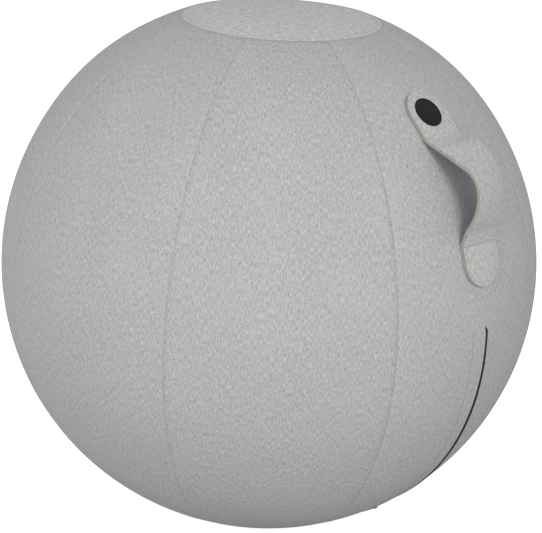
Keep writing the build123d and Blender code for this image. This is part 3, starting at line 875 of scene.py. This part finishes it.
facing_level = 0.3218
facing_thickness = 0.0008
zip_end_length = 0.006
zip_top_latitude = slit_top_latitude + zip_end_length / cover_radius
zip_bottom_latitude = slit_bottom_latitude - zip_end_length / cover_radius
zip_rows = 110
right_facing_width = 0.018
facings = ((-1, "left", fold_width), (1, "right", right_facing_width))
facing_steps = 6
slant_turn = Matrix.Rotation(zip_turn, 3, "Z") @ Matrix.Rotation(zip_slant, 3, "X")


def beside(turned, latitude, across, flat):
    """A point beside a line up the ball that is turned and slanted."""
    spot = Vector((flat * math.cos(latitude), across, flat * math.sin(latitude)))
    return ball_centre + turned @ spot


def zip_spot(latitude, across, level):
    """A point beside the zip: its latitude and level, and its distance from the zip's middle."""
    return beside(slant_turn, latitude, across, math.sqrt(level**2 - across**2))


def zip_strip(name, lines, thickness):
    """A strip along the zip, through lines given by their distance across and their level."""
    strip = flat_cloth(name, len(lines), zip_rows)

    def place(column, row):
        across, level = lines[column]
        latitude = zip_bottom_latitude + (zip_top_latitude - zip_bottom_latitude) * row / (zip_rows - 1)
        return zip_spot(latitude, across, level), (across, cover_radius * latitude)

    draw_over(strip, len(lines), zip_rows, place)
    sew_up(strip, thickness)
    return strip


near = slit_width / 2
for side, side_name, width in facings:
    facing_lines = [(side * across, facing_level) for across in even_steps(near, width, facing_steps)]
    facing = zip_strip(f"slit_facing_{side_name}", facing_lines, facing_thickness)
    dress(facing, cover_cloth, f"zip_facing_{side_name}")


# Zip tapes
# Dark woven tape, low beside the teeth and stepped up to where it is sewn under its facing.

tape_thickness = 0.0007
low_tape = 0.31835
stepped_tape = 0.31885
upper_step_tape = 0.3202
high_tape = 0.3207
tape_lines = (
    (0.0035, low_tape),
    (0.0058, low_tape),
    (0.0070, stepped_tape),
    (0.0082, upper_step_tape),
    (0.0093, high_tape),
    (0.0155, high_tape),
)

for side, side_name in ((-1, "left"), (1, "right")):
    lines = [(side * across, level) for across, level in tape_lines]
    tape = zip_strip(f"zip_ribbon_{side_name}", lines, tape_thickness)
    dress(tape, tape_and_slit_shade_cloth, f"zip_tape_{side_name}")


# Teeth, stops, slider and pull of the zip
# Dark moulded teeth, and stops, slider, pin and pull of cast metal with a pale satin lacquer.


def moulded_finish(name, colour, roughness, metal=0, grain_size=0.0006, grain_depth=0.00003):
    """A moulded or cast surface: faint mottling and a fine grain."""
    material, tree, shader = new_finish(name, roughness)
    shader.inputs["Metallic"].default_value = metal
    mottle = on_piece(tree, "TexNoise", {"Scale": 0.08 / grain_size, "Detail": 4})
    tinted(tree, shader, mottle["Fac"], colour, dark=0.88, light=1.12, low=0.3, high=0.7)
    grain = on_piece(tree, "TexNoise", {"Scale": 1 / grain_size})
    raised(tree, shader, grain["Fac"], strength=0.3, distance=grain_depth)
    return material


def finish_node(node, material):
    """Gives a piece that keeps its shape a better finish."""
    for slot in bpy.data.objects[node].material_slots:
        slot.material = material


teeth_plastic = moulded_finish("teeth plastic", (0.035, 0.035, 0.037), roughness=0.45, grain_size=0.0004)
zip_lacquer = moulded_finish("zip lacquer", (0.34, 0.34, 0.35), roughness=0.35, metal=0.4)
for node in ("zip_teeth_left", "zip_teeth_right"):
    finish_node(node, teeth_plastic)
for node in ("zip_top_stop", "zip_bottom_stop", "zip_slider", "zip_pull_pin", "zip_pull"):
    finish_node(node, zip_lacquer)


# Topstitching beside the slit
# One line of the same thread along the inner edge of each facing. It holds the facing to the
# cover, and the left one stands on the fold that its facing makes.

facing_stitch_inset = 0.0015

zip_places = []
for side, _, width in facings:
    across = side * (width - facing_stitch_inset)
    stitch_rise = fold_rise if side < 0 else 0
    stitch_line = []
    for latitude in even_steps(slit_top_latitude, zip_bottom_latitude, seam_steps):
        level = skin_level(latitude) + stitch_rise
        point = zip_spot(latitude, across, level)
        stitch_line.append((point, (point - ball_centre).normalized()))
    zip_places += sew_line(stitch_line)
zip_stitches = stitch_piece("zip_stitches", topstitch_thickness, zip_places)
dress(zip_stitches, topstitch_thread, "zip_stitching")


# Handle strap
# A strap of three layers with rounded ends: the cover's cloth outside, cream felt in the middle
# and a slate grey lining. Its ends are sewn down, and its loop twists a little, higher at the near
# edge.
strap_half_width = 0.0285
strap_turn = math.radians(-0.57)
strap_lean = math.radians(0.8)
strap_clearance = 0.0003
strap_columns = 29
tip_rows = 14
upper_tip_centre = math.radians(46.4)
lower_tip_centre = math.radians(16.2)
upper_tip = upper_tip_centre + strap_half_width / cover_radius
lower_tip = lower_tip_centre - strap_half_width / cover_radius
near_edge = (
    (42.0, 0), (40.0, 0.005), (37.3, 0.016), (34.5, 0.0283), (31.7, 0.0408),
    (29.2, 0.042), (26.5, 0.0349), (24.4, 0.0241), (22.6, 0.0111), (20.1, 0),
)
far_edge = (
    (41.4, 0), (39.4, 0.0057), (37.5, 0.0199), (34.7, 0.027), (31.8, 0.0298),
    (29.3, 0.0291), (26.7, 0.0245), (24.1, 0.0173), (21.7, 0.0054), (19.4, 0),
)
strap_side = Matrix.Rotation(strap_turn, 3, "Z") @ Matrix.Rotation(strap_lean, 3, "X")
loop_rows = 72
end_rows = 40
lining_top = 0.0010
felt_top = 0.0032
strap_top = 0.0047


def edge_spot(knots, spot):
    """The latitude and lift of an edge of the loop: a smooth line through its knots."""
    index = min(int(spot), len(knots) - 2)
    share = spot - index
    near_knots = [knots[min(max(index + step, 0), len(knots) - 1)] for step in (-1, 0, 1, 2)]
    values = []
    for before, start, end, after in zip(*near_knots):
        slope_start = (end - before) / 2
        slope_end = (after - start) / 2
        square = share * share
        cube = square * share
        value = start * (2 * cube - 3 * square + 1) + slope_start * (cube - 2 * square + share)
        value += end * (3 * square - 2 * cube) + slope_end * (cube - square)
        values.append(value)
    return math.radians(values[0]), max(values[1], 0)


def strap_place(latitude, lift, across):
    """A point of the strap's underside."""
    base = skin_level(latitude) + strap_clearance
    return beside(strap_side, latitude, across, math.sqrt(base**2 - across**2) + lift)


def strap_stations():
    """Each row of the strap: its two edges, its half width and its distance from the tip."""
    rows = []
    tip_turns = [right_angle * step / tip_rows for step in range(tip_rows)]
    tip_spots = [strap_half_width * (1 - math.cos(turn)) for turn in tip_turns]
    for tip, knots, first in ((upper_tip, near_edge, 0), (lower_tip, near_edge, -1)):
        leave_near = math.radians(near_edge[first][0])
        leave_far = math.radians(far_edge[first][0])
        end_length = abs(tip - (leave_near + leave_far) / 2) * cover_radius
        straight = even_steps(strap_half_width, end_length, end_rows)
        end_part = []
        for distance in tip_spots + straight:
            share = distance / end_length
            near = (tip + (leave_near - tip) * share, 0)
            far = (tip + (leave_far - tip) * share, 0)
            inside = max(strap_half_width - distance, 0)
            half_width = math.sqrt(strap_half_width**2 - inside**2)
            end_part.append((near, far, half_width, distance))
        rows.append(end_part)
    loop = []
    for step in range(1, loop_rows):
        spot = (len(near_edge) - 1) * step / loop_rows
        loop.append((edge_spot(near_edge, spot), edge_spot(far_edge, spot), strap_half_width, None))
    return rows[0] + loop + rows[1][::-1]


def strap_grid():
    """The strap's underside: its points, its outward directions and its length to each row."""
    column_turns = even_steps(-right_angle, right_angle, strap_columns - 1)
    shares = [math.sin(turn) for turn in column_turns]
    points = []
    for (near_latitude, near_lift), (far_latitude, far_lift), half_width, _ in stations:
        row = []
        for share in shares:
            mix = (share + 1) / 2
            latitude = near_latitude + (far_latitude - near_latitude) * mix
            lift = near_lift + (far_lift - near_lift) * mix
            row.append(strap_place(latitude, lift, share * half_width))
        points.append(row)
    directions = []
    for index, row in enumerate(points):
        if stations[index][3] is not None:
            directions.append([(point - ball_centre).normalized() for point in row])
            continue
        ahead = points[index + 1]
        behind = points[index - 1]
        row_directions = []
        for column in range(strap_columns):
            over = row[min(column + 1, strap_columns - 1)] - row[max(column - 1, 0)]
            row_directions.append((ahead[column] - behind[column]).cross(over).normalized())
        directions.append(row_directions)
    middle = strap_columns // 2
    lengths = [0.0]
    for row, next_row in zip(points, points[1:]):
        lengths.append(lengths[-1] + (next_row[middle] - row[middle]).length)
    return shares, points, directions, lengths


stations = strap_stations()
strap_shares, strap_points, strap_directions, strap_lengths = strap_grid()
stitch_inset = 0.004
upper_cross_distance = 0.0225
lower_cross_distance = 0.0190
groove_depth = 0.0004
groove_width = 0.0012
fold_line_depth = 0.0010
fold_line_width = 0.0009
sewn_height = 0.0055


def strap_layer(name, height, thickness, grooved):
    """One layer of the strap, whose outer side is a height above the strap's underside."""
    layer = flat_cloth(name, strap_columns, len(stations))

    def place(column, row):
        half_width, distance = stations[row][2:]
        across = strap_shares[column] * half_width
        top = height
        if grooved and distance is not None:
            inside = max(strap_half_width - distance, 0)
            to_edge = strap_half_width - math.sqrt(inside**2 + across**2)
            top -= groove_depth * bell(to_edge - stitch_inset, groove_width)
            if row > len(stations) / 2:
                from_cross = distance - strap_half_width - lower_cross_distance
                top -= fold_line_depth * bell(from_cross, fold_line_width)
        point = strap_points[row][column] + strap_directions[row][column] * top
        return point, (across, strap_lengths[row])

    draw_over(layer, strap_columns, len(stations), place)
    sew_up(layer, thickness)
    return layer


def felt_finish(name, colour, fibre):
    """Pressed felt or raw cut fibres."""
    material, tree, shader = new_finish(name, roughness=0.95, sheen=0.15)
    fibres = on_piece(tree, "TexNoise", {"Scale": 1 / fibre, "Detail": 3})
    tinted(tree, shader, fibres["Fac"], colour, dark=0.82, light=1.16, low=0.3, high=0.7)
    raised(tree, shader, fibres["Fac"], strength=0.4, distance=0.0002)
    return material


strap_grey = (0.530, 0.528, 0.525)
lining_grey = (0.30, 0.30, 0.33)
strap_cloth = woven_cloth("strap cloth", strap_grey, yarn=0.0010, fleck=1.6, speck=0.16, sheen=0.03)
lining_cloth = woven_cloth("strap lining cloth", lining_grey, yarn=0.0009, fleck=0.8, speck=0.05, sheen=0.05)
cut_edge = felt_finish("cut edge", (0.40, 0.38, 0.29), fibre=0.0012)
strap_felt = felt_finish("strap felt", (0.46, 0.44, 0.34), fibre=0.0015)
lining_thickness = 0.0010
felt_thickness = 0.0021
outer_thickness = 0.0011
layers = (
    ("strap_lining", "handle_lining", lining_top, lining_thickness, False, lining_cloth, "strap_lining"),
    ("strap_felt", "handle_core", felt_top, felt_thickness, False, strap_felt, "strap_core"),
    ("strap_outer", "handle_outer", strap_top, outer_thickness, True, strap_cloth, "strap_fabric"),
)
for name, node, height, thickness, grooved, material, slot in layers:
    layer = strap_layer(name, height, thickness, grooved)
    dress(layer, material, node)
    if grooved:
        layer.data.materials.append(cut_edge)
        one_side = len(layer.data.vertices) // 2
        for face in layer.data.polygons:
            latitude = math.asin((face.center - ball_centre).normalized().z)
            sewn_down = (face.center - ball_centre).length < skin_level(latitude) + sewn_height
            if sewn_down and len({corner < one_side for corner in face.vertices}) == 2:
                face.material_index = 1


# Patches behind the sewn ends of the strap
# Two rounded patches of plain canvas inside the cover, under the strap's ends. The ends' stitches
# go through to them.
patch_margin = 0.006
patch_level = 0.3218
patch_thickness = 0.0009
patch_rows = 24
upper_patch_length = 0.031
lower_patch_length = 0.028


def sewn_spot(tip_centre, towards, along, across, level):
    """A point over a sewn end: its distance from the tip's centre towards the loop, and across."""
    latitude = tip_centre + towards * along / cover_radius
    return beside(strap_side, latitude, across, math.sqrt(level**2 - across**2))


canvas = woven_cloth("patch canvas", (0.075, 0.075, 0.077), yarn=0.0012, fleck=0.6, speck=0.0, sheen=0.1)
for name, node, tip_centre, towards, end_length in (
    ("upper_patch", "upper_handle_patch", upper_tip_centre, -1, upper_patch_length),
    ("lower_patch", "lower_handle_patch", lower_tip_centre, 1, lower_patch_length),
):
    size = strap_half_width + patch_margin
    rounded = [-size * math.cos(right_angle * step / tip_rows) for step in range(tip_rows)]
    spots_along = rounded + even_steps(0, end_length, patch_rows - tip_rows - 1)
    patch = flat_cloth(name, strap_columns, patch_rows)

    def patch_place(column, row):
        along = spots_along[row]
        half_width = math.sqrt(max(size**2 - min(along, 0) ** 2, 0))
        across = strap_shares[column] * half_width
        return sewn_spot(tip_centre, towards, along, across, patch_level), (across, along)

    draw_over(patch, strap_columns, patch_rows, patch_place)
    sew_up(patch, patch_thickness)
    dress(patch, canvas, node)


# Stitching of the strap's sewn ends
# A closed line of thread on each end: round the tip, along both edges and straight across.

end_thread = thread_finish("strap end thread", (0.36, 0.36, 0.36))
end_thread_thickness = 0.0008
cross_steps = 24
edge_steps = 12
tip_steps = 40
for name, node, tip_centre, towards, cross_distance in (
    ("upper_end_stitches", "upper_handle_stitching", upper_tip_centre, -1, upper_cross_distance),
    ("lower_end_stitches", "lower_handle_stitching", lower_tip_centre, 1, lower_cross_distance),
):
    reach = strap_half_width - stitch_inset
    outline = [(cross_distance, side_share * reach) for side_share in even_steps(1, -1, cross_steps)]
    outline += [(along, -reach) for along in even_steps(cross_distance, 0, edge_steps)[1:]]
    for turn in even_steps(-right_angle, right_angle, tip_steps)[1:]:
        outline.append((-reach * math.cos(turn), reach * math.sin(turn)))
    outline += [(along, reach) for along in even_steps(0, cross_distance, edge_steps)[1:]]
    stitch_line = []
    for along, across in outline:
        latitude = tip_centre + towards * along / cover_radius
        level = skin_level(latitude) + strap_clearance + strap_top - groove_depth
        point = sewn_spot(tip_centre, towards, along, across, level)
        stitch_line.append((point, (point - ball_centre).normalized()))
    end_stitches = stitch_piece(name, end_thread_thickness, sew_line(stitch_line))
    dress(end_stitches, end_thread, node)


# Badge
# A plain round disc of near-black rubber with a raised rim, bent to the ball and stitched to the
# strap's upper end.

badge_radius = 0.0175
badge_offset = 0.0027
badge_height = 0.0016
badge_rim = 0.0012
badge_recess = 0.0003
badge_segments = 96
badge_lift = 0.0001
badge_smooth_angle = math.radians(35)
badge_gloss = 0.15
rim_foot = 0.0003
rim_slope = 0.0001
rim_bevel = 0.0005
rim_round = 0.00015
foot_bevel = 0.0002
face_height = badge_height - badge_recess
rim_inner = badge_radius - badge_rim

badge_side = Matrix.Rotation(-badge_offset / (cover_radius * math.cos(upper_tip_centre)), 3, "Z")
badge_line = [(share * badge_radius, face_height) for share in (0, 0.3, 0.6, 0.85)]
badge_line += [
    (rim_inner - rim_foot, face_height),
    (rim_inner - rim_slope, badge_height - badge_recess / 2),
    (rim_inner, badge_height),
    (badge_radius - rim_bevel, badge_height),
    (badge_radius - rim_round, badge_height - rim_round),
    (badge_radius, badge_height - rim_bevel),
    (badge_radius, foot_bevel),
    (badge_radius - foot_bevel, 0),
]
badge_line += [(share * badge_radius, 0) for share in (0.6, 0)]
badge_rings = len(badge_line) - 1
bpy.ops.object.select_all(action="DESELECT")
bpy.ops.mesh.primitive_uv_sphere_add(segments=badge_segments, ring_count=badge_rings, radius=1)
badge = named(bpy.context.active_object, "round_badge")
for vertex in badge.data.vertices:
    ring = round(math.acos(min(max(vertex.co.z, -1), 1)) / math.pi * badge_rings)
    turn = math.atan2(vertex.co.y, vertex.co.x)
    radius, height = badge_line[ring]
    along = radius * math.cos(turn)
    across = radius * math.sin(turn)
    latitude = upper_tip_centre - along / cover_radius
    level = skin_level(latitude) + strap_clearance + strap_top + badge_lift + height
    vertex.co = badge_side @ sewn_spot(upper_tip_centre, -1, along, across, level)
bpy.ops.object.mode_set(mode="EDIT")
bpy.ops.mesh.select_all(action="SELECT")
bpy.ops.mesh.normals_make_consistent(inside=False)
bpy.ops.object.mode_set(mode="OBJECT")
bpy.ops.object.shade_smooth_by_angle(angle=badge_smooth_angle)
badge_black = (0.006, 0.006, 0.0065)
badge_grain = {"grain_size": 0.0007, "grain_depth": 0.00004}
badge_rubber = moulded_finish("badge rubber", badge_black, roughness=0.6, **badge_grain)
badge_rubber.node_tree.nodes["Principled BSDF"].inputs["Specular IOR Level"].default_value = badge_gloss
dress(badge, badge_rubber, "handle_badge")


# Bladder and air plug
# Smooth grey vinyl, hidden in the cover and held by it, and the off-white plug of its valve,
# which sits in the bladder's neck.

bladder_grey = (0.26, 0.27, 0.29)
plug_white = (0.68, 0.68, 0.65)
bladder_grain = {"grain_size": 0.0015, "grain_depth": 0.0001}
plug_grain = {"grain_size": 0.001, "grain_depth": 0.00005}
bladder_vinyl = moulded_finish("bladder vinyl", bladder_grey, roughness=0.4, **bladder_grain)
plug_vinyl = moulded_finish("plug vinyl", plug_white, roughness=0.4, **plug_grain)
finish_node("bladder", bladder_vinyl)
finish_node("air_plug", plug_vinyl)
